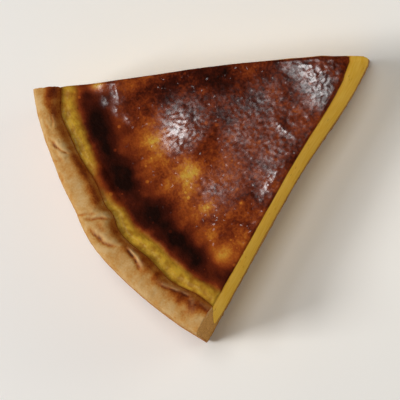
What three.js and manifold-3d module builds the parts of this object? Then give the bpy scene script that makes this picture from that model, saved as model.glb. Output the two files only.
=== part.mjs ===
// A slice of custard flan, in millimetres with +Z up: a wedge of set custard under a browned skin,
// standing in its own shell of shortcrust pastry. The tip points along +X and the rim faces -X.
// Both pieces are turned as the whole flan, given their relief, and then cut out by the two knife cuts.
import * as THREE from "three";
import { mergeVertices } from "three/addons/utils/BufferGeometryUtils.js";
import Module from "manifold-3d";

const { clamp, degToRad, lerp, smoothstep } = THREE.MathUtils;

// Driving dimensions of the whole flan
const FLAN_RADIUS = 120;
const RIM_HEIGHT = 40;
const BASE_THICKNESS = 4.5;
const WALL_THICKNESS = 7.4;
const RIM_WIDTH = 9.6;

// The two knife cuts, each measured from the slice's middle line. The soft tip settles between them, so
// that its foot spreads past its top, less and less along the cuts.
const HALF_SLICE_DEGREES = 27.5;
const TIP_SPREAD = 4.4;
const TIP_SPREAD_REACH = 55;
const KNIFE_REACH = 280;
const KNIFE_STEPS = 40;

// Pastry: rounded foot, upright wall, and a rim with a soft crown that slopes down to the custard
const FOOT_ROUNDING = 3;
const WALL_LEAN_IN = 0.8;
const SHOULDER_DROP = 4;
const CROWN_INSET = 4.4;
const SLOPE_ROUNDING = 1.6;
const CORNER_FILLET = 6;
const RIM_UNEVENNESS = 0.6;
const WALL_UNEVENNESS = 0.25;

// Places where the rim leans in over the custard: angle and reach round the rim in degrees, lean in mm
const LIPS = [
  { degrees: -11, spread: 5, lean: 1.9 },
  { degrees: -1, spread: 2.6, lean: 2.2 },
  { degrees: 11.5, spread: 3.5, lean: 1.9 },
  { degrees: 25, spread: 5, lean: 2.2 },
];

// Creases where the pastry folds over itself. Each runs from one place to another on the rim, as an angle
// and a distance in from the outer edge, and the pastry on its inner side stands up as a flap.
const CREASES = [
  { from: [-18.2, 3.2], to: [-14.2, 7.6], flap: 0.9 },
  { from: [-2.8, 2.6], to: [0.2, 9.6], flap: 1.0 },
  { from: [-0.8, 3.6], to: [6.2, 7.2], flap: 0.8 },
  { from: [7.2, 8.2], to: [11.6, 4.4], flap: 1.0 },
  { from: [15.5, 7.0], to: [23, 10.6], flap: 0.7 },
];
const FLAP_REACH = 2.6;
const FLAP_EDGE = 0.6;
const CREASE_WIDTH = 0.9;

// Custard: it meets the rim's slope, swells in a pale ring beside it and sinks towards the tip
const FIT_GAP = 0.3;
const CONTACT_HEIGHT = 35.5;
const RING_WIDTH = 6.5;
const RING_SWELL = 0.8;
const SKIN_DROP = 0.5;
const TIP_SAG = 3;

// Blisters and dents of the skin, spread over the whole flan
const BLISTER_COUNT = 420;
const BLISTER_RADIUS = { least: 4, most: 9 };
const BLISTER_HEIGHT = 0.75;
const BLISTER_SEED = 11;

// Facets of the turned pieces
const TURN_SEGMENTS = 540;
const SKIN_STEPS = 22;

// Finishes
const BAKED_PASTRY = { color: 0xc99a5b, roughness: 0.85, metalness: 0 };
const SET_CUSTARD = { color: 0xcfa338, roughness: 0.45, metalness: 0 };

const wasm = await Module();
wasm.setup();

// Small helpers

function point(radius, height) {
  return new THREE.Vector2(radius, height);
}

function bell(offset, spread) {
  return Math.exp(-((offset / spread) ** 2));
}

function total(list, worth) {
  return list.reduce((sum, item) => sum + worth(item), 0);
}

// The same run of numbers from 0 to 1 for the same seed
function seeded(seed) {
  let state = seed;
  return () => {
    state = (Math.imul(state, 1664525) + 1013904223) >>> 0;
    return state / 2 ** 32;
  };
}

// A section from its curves in order, each with the number of steps that it is split into
function section(...runs) {
  const points = runs.flatMap(([curve, steps]) => curve.getPoints(steps).slice(0, -1));
  const [last] = runs.at(-1);
  return [...points, last.getPoint(1)];
}

function line(from, to) {
  return new THREE.LineCurve(from, to);
}

function bend(from, corner, to) {
  return new THREE.QuadraticBezierCurve(from, corner, to);
}

// A section turned about the flan's axis, with every vertex moved by a relief that is given in the
// flan's own terms: radius, angle from the slice's middle line in radians, and height
function turned(profile, relief) {
  const geometry = new THREE.LatheGeometry(profile, TURN_SEGMENTS).rotateX(Math.PI / 2);
  const position = geometry.getAttribute("position");
  for (let i = 0; i < position.count; i++) {
    const x = position.getX(i);
    const y = position.getY(i);
    const angle = Math.atan2(-y, -x);
    const moved = relief(Math.hypot(x, y), angle, position.getZ(i));
    position.setXYZ(i, -moved.radius * Math.cos(angle), -moved.radius * Math.sin(angle), moved.height);
  }
  return geometry;
}

// A closed mesh as a solid: shared corners are merged, and the triangles that collapse on the axis go
function solid(geometry) {
  const bare = geometry.clone().deleteAttribute("normal").deleteAttribute("uv");
  const merged = mergeVertices(bare);
  const index = merged.index.array;
  const kept = [];
  for (let i = 0; i < index.length; i += 3) {
    const [a, b, c] = index.slice(i, i + 3);
    if (a !== b && b !== c && c !== a) kept.push(a, b, c);
  }
  return new wasm.Manifold(
    new wasm.Mesh({
      numProp: 3,
      vertProperties: merged.getAttribute("position").array,
      triVerts: new Uint32Array(kept),
    }),
  );
}

function geometryOf(made) {
  const mesh = made.getMesh();
  const geometry = new THREE.BufferGeometry();
  geometry.setAttribute("position", new THREE.BufferAttribute(mesh.vertProperties, 3));
  geometry.setIndex(new THREE.BufferAttribute(mesh.triVerts, 1));
  geometry.computeVertexNormals();
  return geometry;
}

// Relief of the pastry

// How far the rim leans over the custard at an angle
function leanAt(angle) {
  return total(LIPS, (lip) => lip.lean * bell(angle - degToRad(lip.degrees), degToRad(lip.spread)));
}

// How much of that lean there is at a height: none at the base, all of it where the custard ends
function leanShare(height) {
  return smoothstep(height, BASE_THICKNESS + CORNER_FILLET, CONTACT_HEIGHT);
}

// A place on the rim laid out flat: along its outer edge and in from it, in mm
function onRim(degrees, inset) {
  return point(FLAN_RADIUS * degToRad(degrees), inset);
}

// The step in height beside one crease: the flap falls away behind its edge, with a groove in front of it
function creaseRelief(crease, place) {
  const start = onRim(...crease.from);
  const run = onRim(...crease.to).sub(start);
  const offset = place.clone().sub(start);
  const along = offset.dot(run) / run.lengthSq();
  const across = run.cross(offset) / run.length();
  const within = smoothstep(along, -0.15, 0.15) * (1 - smoothstep(along, 0.85, 1.15));
  const flap = smoothstep(across, -FLAP_EDGE, FLAP_EDGE) * Math.exp(-Math.max(across, 0) / FLAP_REACH);
  const groove = bell(across + FLAP_EDGE, CREASE_WIDTH) / 2;
  return crease.flap * within * (flap - groove);
}

function pastryRelief(radius, angle, height) {
  const inset = FLAN_RADIUS - radius;
  const place = point(FLAN_RADIUS * angle, inset);
  const onTop = smoothstep(height, CONTACT_HEIGHT, RIM_HEIGHT - 1);
  const onWall = smoothstep(radius, FLAN_RADIUS - WALL_THICKNESS, FLAN_RADIUS - 2);
  const towardsInside = smoothstep(inset, 2, RIM_WIDTH - 2);
  const wave = 0.6 * Math.sin(9 * angle + 0.4) + 0.4 * Math.sin(23 * angle + 2);
  const dimples = Math.sin(31 * angle + 0.2 * height) * Math.sin(0.35 * height + 5 * angle);
  const folds = total(CREASES, (crease) => creaseRelief(crease, place));
  const aboveFoot = smoothstep(height, 0, FOOT_ROUNDING);
  const lean = leanAt(angle) * towardsInside * leanShare(height);
  return {
    radius: radius - lean + WALL_UNEVENNESS * dimples * onWall * aboveFoot,
    height: height + onTop * (RIM_UNEVENNESS * wave + folds),
  };
}

// Relief of the custard

// Every blister or dent of the skin, as a place on the flan with a radius and a height
function makeBlisters() {
  const draw = seeded(BLISTER_SEED);
  return Array.from({ length: BLISTER_COUNT }, () => {
    const distance = FLAN_RADIUS * Math.sqrt(draw());
    const turn = 2 * Math.PI * draw();
    return {
      x: distance * Math.cos(turn),
      y: distance * Math.sin(turn),
      radius: lerp(BLISTER_RADIUS.least, BLISTER_RADIUS.most, draw()),
      height: BLISTER_HEIGHT * (2 * draw() - 1),
    };
  });
}

const blisters = makeBlisters();

function blisterRelief(radius, angle) {
  const x = -radius * Math.cos(angle);
  const y = -radius * Math.sin(angle);
  return total(blisters, (blister) => {
    return blister.height * bell(Math.hypot(x - blister.x, y - blister.y), blister.radius);
  });
}

function custardRelief(radius, angle, height) {
  const contact = FLAN_RADIUS - RIM_WIDTH;
  const skinLow = CONTACT_HEIGHT - SKIN_DROP - TIP_SAG;
  const besideWall = smoothstep(radius, contact - 3 * RING_WIDTH, contact);
  const onTop = smoothstep(height, skinLow - 2, skinLow - 1);
  const onSkin = onTop * (1 - smoothstep(radius, contact - RING_WIDTH, contact - RING_WIDTH / 3));
  return {
    radius: radius - leanAt(angle) * besideWall * leanShare(height),
    height: height + onSkin * blisterRelief(radius, angle),
  };
}

// Sections

// The shell's section, from the axis along the underside, up the wall, over the rim and back inside
function pastryProfile() {
  const outer = FLAN_RADIUS;
  const inner = FLAN_RADIUS - WALL_THICKNESS;
  const contact = FLAN_RADIUS - RIM_WIDTH;
  const foot = point(outer - FOOT_ROUNDING, 0);
  const wallStart = point(outer, FOOT_ROUNDING);
  const shoulder = point(outer - WALL_LEAN_IN, RIM_HEIGHT - SHOULDER_DROP);
  const crown = point(outer - CROWN_INSET, RIM_HEIGHT);
  const slopeEnd = point(contact, CONTACT_HEIGHT);
  const wallEnd = point(inner, BASE_THICKNESS + CORNER_FILLET);
  const baseEdge = point(inner - CORNER_FILLET, BASE_THICKNESS);
  return section(
    [line(point(0, 0), foot), 1],
    [bend(foot, point(outer, 0), wallStart), 3],
    [line(wallStart, shoulder), 6],
    [bend(shoulder, point(shoulder.x, RIM_HEIGHT), crown), 5],
    [bend(crown, point(contact + SLOPE_ROUNDING, RIM_HEIGHT), slopeEnd), 9],
    [line(slopeEnd, wallEnd), 3],
    [bend(wallEnd, point(inner, BASE_THICKNESS), baseEdge), 3],
    [line(baseEdge, point(0, BASE_THICKNESS)), 1],
  );
}

// The custard's section, from the axis along its underside, up beside the wall and back over the skin
function custardProfile() {
  const inner = FLAN_RADIUS - WALL_THICKNESS - FIT_GAP;
  const contact = FLAN_RADIUS - RIM_WIDTH - FIT_GAP;
  const floor = BASE_THICKNESS + FIT_GAP;
  const baseEdge = point(inner - CORNER_FILLET, floor);
  const wallStart = point(inner, floor + CORNER_FILLET);
  const ringEdge = point(contact, CONTACT_HEIGHT);
  const skinEdge = point(contact - RING_WIDTH, CONTACT_HEIGHT - SKIN_DROP);
  const ringSwell = point(contact - RING_WIDTH / 2, CONTACT_HEIGHT + 2 * RING_SWELL);
  const middle = point(0, skinEdge.y - TIP_SAG);
  return section(
    [line(point(0, floor), baseEdge), 1],
    [bend(baseEdge, point(inner, floor), wallStart), 3],
    [line(wallStart, ringEdge), 3],
    [bend(ringEdge, ringSwell, skinEdge), 5],
    [bend(skinEdge, point(skinEdge.x / 2, middle.y), middle), SKIN_STEPS],
  );
}

// How far a cut face stands out beside the tip, at a distance from the axis and a height
function spreadAt(distance, height) {
  const top = CONTACT_HEIGHT - SKIN_DROP - TIP_SAG;
  const depth = clamp((top - height) / top, 0, 1);
  const bulge = 1 - (1 - depth) ** 2;
  const atCut = TIP_SPREAD * Math.sin(degToRad(HALF_SLICE_DEGREES));
  return atCut * bulge * (1 - smoothstep(distance, 0, TIP_SPREAD_REACH));
}

// The slice's side of a knife cut, as a block whose face on the cut follows the spread of the tip
function besideCut(side) {
  const block = new THREE.BoxGeometry(KNIFE_REACH, KNIFE_REACH, KNIFE_REACH, KNIFE_STEPS, 1, KNIFE_STEPS);
  block.translate(0, (side * KNIFE_REACH) / 2, 0);
  const position = block.getAttribute("position");
  for (let i = 0; i < position.count; i++) {
    if (position.getY(i) === 0) position.setY(i, -side * spreadAt(-position.getX(i), position.getZ(i)));
  }
  return solid(block.rotateZ(degToRad(side * HALF_SLICE_DEGREES)));
}

const wedge = besideCut(1).intersect(besideCut(-1));

function slicePiece(name, profile, relief, finish) {
  const piece = solid(turned(profile, relief)).intersect(wedge);
  const mesh = new THREE.Mesh(geometryOf(piece), new THREE.MeshStandardMaterial(finish));
  mesh.name = name;
  return mesh;
}

const slice = new THREE.Group();
slice.add(
  slicePiece("pastry_crust", pastryProfile(), pastryRelief, BAKED_PASTRY),
  slicePiece("custard_filling", custardProfile(), custardRelief, SET_CUSTARD),
);

// The origin is the middle of the footprint, on the surface that the slice rests on
const extent = new THREE.Box3().setFromObject(slice, true);
const middle = extent.getCenter(new THREE.Vector3());
slice.position.set(-middle.x, -middle.y, -extent.min.z);

export default slice;
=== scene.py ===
"""A slice of custard flan: browned, blistered custard in a folded shortcrust shell.

The two pieces are drawn as sections, turned about the flan's axis and given their relief. Sizes are in
millimetres and angles in radians unless a name says otherwise. A place of the flan is its distance from the
flan's axis, its angle from the slice's middle line and its height above the table.
"""

import logging
import math
import random
from abc import ABC, abstractmethod
from collections.abc import Iterable
from dataclasses import dataclass, field
from enum import Enum
from typing import NamedTuple

import bmesh
import bpy
from mathutils import Matrix, Vector, noise


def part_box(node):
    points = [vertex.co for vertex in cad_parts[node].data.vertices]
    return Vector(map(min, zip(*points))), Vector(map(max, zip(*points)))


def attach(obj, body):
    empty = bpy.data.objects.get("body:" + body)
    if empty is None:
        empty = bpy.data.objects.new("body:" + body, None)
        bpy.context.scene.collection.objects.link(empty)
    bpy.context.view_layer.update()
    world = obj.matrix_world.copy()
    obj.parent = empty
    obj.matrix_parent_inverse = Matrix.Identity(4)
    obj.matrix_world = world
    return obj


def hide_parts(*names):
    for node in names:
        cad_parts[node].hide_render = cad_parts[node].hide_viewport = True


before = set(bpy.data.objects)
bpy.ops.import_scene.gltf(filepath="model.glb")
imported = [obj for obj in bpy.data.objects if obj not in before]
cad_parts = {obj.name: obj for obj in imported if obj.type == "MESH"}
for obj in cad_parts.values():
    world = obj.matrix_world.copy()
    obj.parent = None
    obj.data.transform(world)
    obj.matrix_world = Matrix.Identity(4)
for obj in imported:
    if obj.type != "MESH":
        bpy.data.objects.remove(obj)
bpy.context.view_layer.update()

LOG = logging.getLogger("flan_slice")
MM = 0.001
BODY = "root"
TINY = 1e-3
GRID_HALF = 0.5

Colour = tuple[float, float, float, float]
Tones = tuple[tuple[float, Colour], ...]
Socket = bpy.types.NodeSocket
Source = Socket | float | Colour


def limit(value: float) -> float:
    """A value kept between 0 and 1."""
    return min(max(value, 0.0), 1.0)


def bell(offset: float, spread: float) -> float:
    """A bump of height 1 at an offset of 0."""
    return math.exp(-((offset / spread) ** 2))


def bend(start: float, corner: float, end: float, share: float) -> float:
    """One coordinate of a quadratic curve."""
    rest = 1 - share
    return rest * rest * start + 2 * rest * share * corner + share * share * end


def interpolate(stops: tuple[tuple[float, float], ...], where: float) -> float:
    """Reads a value from stops that are joined by straight lines.

    Args:
        stops: pairs of (where, value), in order.
        where: the place to read at.

    Returns:
        The value there, which stays the same past the last stop.
    """
    found = stops[0][1]
    for (start, low), (end, high) in zip(stops, stops[1:]):
        if where >= start:
            found = low + (high - low) * min((where - start) / (end - start), 1.0)
    return found


def linear(value: int) -> float:
    """One part of a display colour, from 0 to 255, as the linear part that shaders take."""
    share = value / 255
    return share / 12.92 if share <= 0.04045 else ((share + 0.055) / 1.055) ** 2.4


def paint(red: int, green: int, blue: int) -> Colour:
    """A display colour, each part from 0 to 255, as the linear colour that shaders take."""
    return linear(red), linear(green), linear(blue), 1.0


class Attribute(Enum):
    """Values that the meshes carry for their finishes."""

    PLACE = "place"
    DEPTH = "depth"
    CUT = "cut"
    BROWNING = "browning"
    GLOSS = "gloss"
    # On the crust, pale carries the painted highlight on the folds' lips.
    PALE = "pale"


class Span(NamedTuple):
    """A stretch of values over which something changes, with soft ends."""

    low: float
    high: float

    def rise(self, value: float) -> float:
        """From 0 before the span to 1 after it."""
        share = limit((value - self.low) / (self.high - self.low))
        return share * share * (3 - 2 * share)

    def fall(self, value: float) -> float:
        """From 1 before the span to 0 after it."""
        return 1 - self.rise(value)


WHOLE = Span(0.0, 1.0)


class Wave(NamedTuple):
    """Smooth noise: the width of its humps, its amount, its pattern, and how far y is squeezed."""

    size: float
    amount: float
    pattern: float
    squeeze: float = 1.0

    def at(self, x: float, y: float) -> float:
        """Its height at a place."""
        return self.amount * noise.noise(Vector((x / self.size, self.squeeze * y / self.size, self.pattern)))


class Undulation(NamedTuple):
    """An even wave along the rim: its amount, how fast it repeats and where it starts."""

    amount: float
    pace: float
    start: float

    def at(self, angle: float) -> float:
        """Its height at an angle."""
        return self.amount * math.sin(self.pace * angle + self.start)


class Change(NamedTuple):
    """A change along a line: its full amount at one place, fading over a spread. On the rim, in degrees."""

    where: float
    spread: float
    amount: float

    def at(self, place: float) -> float:
        """Its amount at a place."""
        return self.amount * bell(place - self.where, self.spread)


class Patch(NamedTuple):
    """A patch of the top: where it lies, how far it fades inwards and sideways, and its amount."""

    radius: float
    degrees: float
    across: float
    along: float
    amount: float

    def at(self, radius: float, angle: float) -> float:
        """Its amount at a place of the top."""
        aside = radius * (angle - math.radians(self.degrees))
        return self.amount * bell(radius - self.radius, self.across) * bell(aside, self.along)


def total(parts: Iterable[Wave | Undulation | Change | Patch], *place: float) -> float:
    """Sum of some parts of one kind at a place."""
    return sum(part.at(*place) for part in parts)


class Spot(NamedTuple):
    """A place of the flan, with its depth below the surface that was baked."""

    radius: float
    angle: float
    height: float
    depth: float

    @property
    def degrees(self) -> float:
        """Its angle in degrees."""
        return math.degrees(self.angle)

    @property
    def x(self) -> float:
        """Distance from the axis along the slice's middle line."""
        return self.radius * math.cos(self.angle)

    @property
    def y(self) -> float:
        """Distance from the slice's middle line."""
        return self.radius * math.sin(self.angle)


class Baking(NamedTuple):
    """How far a place is browned, how glossy it is and how far it stayed pale, each from 0 to 1. On the crust
    the browning also holds painted shade in the folds' grooves, and pale holds a painted highlight on their
    lips.
    """

    browning: float
    gloss: float
    pale: float

    def limited(self) -> "Baking":
        """The same with each part kept between 0 and 1."""
        return Baking(*(limit(part) for part in self))


@dataclass(frozen=True)
class Wedge:
    """Where the slice lies in the frame, and the shape of its two cuts.

    The soft slice has settled: its foot spreads past its top at the tip, the top of the tip is worn blunt,
    and the cuts bulge a little.
    """

    axis_x: float
    radius: float = 120.0
    half_angle: float = math.radians(27.5)
    tip_height: float = 32.0
    tip_spread: float = 4.4
    spread_reach: Span = Span(0, 55)
    tip_wear: float = 2.2
    wear_reach: Span = Span(0, 14)
    tip_rounding: Span = Span(0, 2)
    far_bulge: Change = Change(48, 36, 1.6)
    near_bulge: Change = Change(18, 20, 1.4)

    def point(self, spot: Spot) -> Vector:
        """A place of the flan as a point of the frame, in metres."""
        x = self.axis_x - spot.x
        return Vector((x, -spot.y, spot.height)) * MM

    def place(self, point: Vector, depth: float = 0.0) -> Spot:
        """Finds a point of the frame on the flan.

        Args:
            point: the point, in metres.
            depth: its depth below the surface that was baked.

        Returns:
            The place of the flan.
        """
        x = self.axis_x - point.x / MM
        y = -point.y / MM
        return Spot(math.hypot(x, y), math.atan2(y, x), point.z / MM, depth)

    def arc(self, spot: Spot) -> float:
        """Distance from the slice's middle line, measured along the rim."""
        return self.radius * spot.angle

    def from_cut(self, spot: Spot) -> float:
        """Distance to the nearer cut."""
        return spot.radius * math.sin(max(self.half_angle - abs(spot.angle), 0.0))

    def outward(self, angle: float) -> Vector:
        """The direction out of the slice, square to the cut on that side."""
        side = math.copysign(self.half_angle, angle)
        return Vector((math.sin(abs(side)), -math.copysign(math.cos(side), angle), 0))

    def settle(self, spot: Spot) -> Vector:
        """Works out how far the slice has settled: along it at the tip, and out of it at the cuts.

        Args:
            spot: the place before it settled.

        Returns:
            The move in the frame.
        """
        foot = 1 - (1 - limit(1 - spot.height / self.tip_height)) ** 2
        forward = self.tip_spread * foot * self.spread_reach.fall(spot.radius)
        forward -= self.tip_wear * (1 - foot) * self.wear_reach.fall(spot.radius)
        bulge = self.near_bulge if spot.angle > 0 else self.far_bulge
        share = min(abs(spot.angle) / self.half_angle, 1.0) ** 3 * self.tip_rounding.rise(spot.radius)
        return Vector((forward, 0, 0)) + self.outward(spot.angle) * (share * bulge.at(spot.radius))


@dataclass
class SlicePiece(ABC):
    """A piece that is a section turned about the flan's axis between the two cuts."""

    wedge: Wedge
    node: str
    slot: str
    columns: int
    rows: int
    steps: int
    sharp_angle: float = math.radians(50)
    weld: float = 0.02

    @abstractmethod
    def section(self, along: float, up: float) -> Spot:
        """Draws the section, on the far cut.

        Args:
            along: how far along the section, from 0 to 1.
            up: how far up through it, from 0 to 1.

        Returns:
            The section's point there.
        """

    @abstractmethod
    def hidden(self, along: float, up: float) -> bool:
        """Tells whether the section's edge lies on the axis, or turns into a flat that nobody sees.

        Args:
            along: how far along the section, from 0 to 1.
            up: how far up through it, from 0 to 1.

        Returns:
            True where the edge isn't turned.
        """

    @abstractmethod
    def shaped(self, spot: Spot, cut: bool) -> Vector:
        """Gives a point of the turned section its relief.

        Args:
            spot: the point's place.
            cut: whether it lies on a cut.

        Returns:
            The point's final place in the frame.
        """

    @abstractmethod
    def baked(self, spot: Spot) -> Baking:
        """Works out how the oven has left a place.

        Args:
            spot: the place.

        Returns:
            How it is baked.
        """

    @abstractmethod
    def finish(self) -> bpy.types.Material:
        """The piece's material."""

    def turn(self, bm: bmesh.types.BMesh) -> None:
        """Draws the section on the far cut and turns it round to the near one.

        Args:
            bm: the empty mesh that the turned section goes into.
        """
        depth = bm.verts.layers.float.new(Attribute.DEPTH.value)
        bmesh.ops.create_grid(bm, x_segments=self.columns, y_segments=self.rows, size=GRID_HALF)
        outline = []
        for edge in bm.edges:
            middle = (edge.verts[0].co + edge.verts[1].co) / 2
            if edge.is_boundary and not self.hidden(middle.x + GRID_HALF, middle.y + GRID_HALF):
                outline.append(edge)
        for vert in bm.verts:
            spot = self.section(vert.co.x + GRID_HALF, vert.co.y + GRID_HALF)
            vert[depth] = spot.depth
            vert.co = self.wedge.point(spot)
        ends = list({vert for edge in outline for vert in edge.verts})
        axis = Vector((self.wedge.axis_x * MM, 0, 0))
        angle = 2 * self.wedge.half_angle
        copy = bmesh.ops.duplicate(bm, geom=bm.faces[:])["geom"]
        seam = [item for item in copy if isinstance(item, bmesh.types.BMVert)]
        bmesh.ops.rotate(bm, verts=seam, cent=axis, matrix=Matrix.Rotation(angle, 3, "Z"))
        turned = bmesh.ops.spin(
            bm, geom=ends + outline, cent=axis, axis=(0, 0, 1), angle=angle, steps=self.steps
        )["geom_last"]
        seam += [item for item in turned if isinstance(item, bmesh.types.BMVert)]
        bmesh.ops.remove_doubles(bm, verts=seam, dist=self.weld * MM)
        tip = [vert for vert in bm.verts if self.wedge.place(vert.co).radius < self.weld]
        bmesh.ops.remove_doubles(bm, verts=tip, dist=self.weld * MM)
        bmesh.ops.holes_fill(bm, edges=[edge for edge in bm.edges if edge.is_boundary], sides=0)
        bmesh.ops.recalc_face_normals(bm, faces=bm.faces[:])

    def relieve(self, bm: bmesh.types.BMesh) -> None:
        """Moves every vertex to its shaped place and notes what the finish reads.

        Args:
            bm: the mesh with the turned section.
        """
        layers = bm.verts.layers
        depth = layers.float[Attribute.DEPTH.value]
        place = layers.float_vector.new(Attribute.PLACE.value)
        cut = layers.float.new(Attribute.CUT.value)
        browning = layers.float.new(Attribute.BROWNING.value)
        gloss = layers.float.new(Attribute.GLOSS.value)
        pale = layers.float.new(Attribute.PALE.value)
        for vert in bm.verts:
            spot = self.wedge.place(vert.co, vert[depth])
            on_cut = self.wedge.from_cut(spot) < self.weld
            vert[place] = Vector((spot.radius, self.wedge.arc(spot), spot.height)) * MM
            vert[cut] = float(on_cut)
            vert[browning], vert[gloss], vert[pale] = self.baked(spot).limited()
            vert.co = self.shaped(spot, on_cut)

    def build(self) -> bpy.types.Object:
        """Makes the piece, which then stands for its node.

        Returns:
            The finished object, riding on the slice's body.
        """
        bm = bmesh.new()
        self.turn(bm)
        self.relieve(bm)
        for face in bm.faces:
            face.smooth = True
        for edge in bm.edges:
            edge.smooth = edge.calc_face_angle(0.0) < self.sharp_angle
        mesh = bpy.data.meshes.new(f"{self.node}_baked")
        bm.to_mesh(mesh)
        bm.free()
        piece = bpy.data.objects.new(f"{self.node}_baked", mesh)
        mesh.materials.append(self.finish())
        bpy.context.scene.collection.objects.link(piece)
        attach(piece, BODY)
        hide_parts(self.node)
        return piece


@dataclass(frozen=True)
class Shell:
    """The lines that the custard and the pastry share: the top of the base and the inside of the wall."""

    wedge: Wedge
    base_thickness: float = 4.5
    wall_thickness: float = 7.4
    rim_width: float = 9.6
    rim_height: float = 40.0
    contact_height: float = 35.5
    fillet: float = 6.0
    raggedness: float = 0.35
    floor_ends: float = 4.0
    floor_waves: tuple[Wave, ...] = (Wave(5, 1.0, 1.7), Wave(1.8, 0.5, 3.7))
    wall_start: Span = Span(0, 0.2)
    wall_end: Span = Span(0.8, 1)
    wall_row: float = 9.0
    wall_waves: tuple[Wave, ...] = (Wave(4, 1.0, 2.7), Wave(1.5, 0.5, 5.7))
    lips: tuple[Change, ...] = (
        Change(-22, 3.5, -1.6),
        Change(-7, 6, 2.5),
        Change(0.5, 2, 1.4),
        Change(12, 5, 2.0),
        Change(24, 5, 2.7),
    )

    @property
    def inner(self) -> float:
        """Radius of the wall's inside."""
        return self.wedge.radius - self.wall_thickness

    @property
    def contact(self) -> float:
        """Radius where the custard meets the rim."""
        return self.wedge.radius - self.rim_width

    @property
    def floor_radius(self) -> float:
        """Radius of the base's flat top."""
        return self.inner - self.fillet

    @property
    def fillet_top(self) -> float:
        """Height where the fillet ends and the wall's inside starts."""
        return self.base_thickness + self.fillet

    def before_contact(self, reach: float) -> Span:
        """The last stretch of the top before the rim."""
        return Span(self.contact - reach, self.contact)

    def lean(self, spot: Spot) -> float:
        """How far the wall's inside leans over the custard at a place."""
        share = Span(self.fillet_top, self.contact_height).rise(spot.height)
        return share * total(self.lips, spot.degrees)

    def floor_height(self, radius: float) -> float:
        """Finds the base's ragged top.

        Args:
            radius: where to measure.

        Returns:
            Its height there.
        """
        end = Span(self.floor_radius - self.floor_ends, self.floor_radius)
        within = Span(0, self.floor_ends).rise(radius) * end.fall(radius)
        return self.base_thickness + self.raggedness * within * total(self.floor_waves, radius, 0)

    def wall_radius(self, height: float) -> float:
        """Finds the wall's inside, before it leans.

        Args:
            height: where to measure.

        Returns:
            Its radius there.
        """
        if height < self.fillet_top:
            drop = min((self.fillet_top - height) / self.fillet, 1.0)
            return self.inner - self.fillet * (1 - math.sqrt(max(1 - drop * drop, 0.0)))
        share = (height - self.fillet_top) / (self.contact_height - self.fillet_top)
        within = self.wall_start.rise(share) * self.wall_end.fall(share)
        ragged = self.raggedness * within * total(self.wall_waves, height, self.wall_row)
        return self.inner + (self.contact - self.inner) * share + ragged


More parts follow.
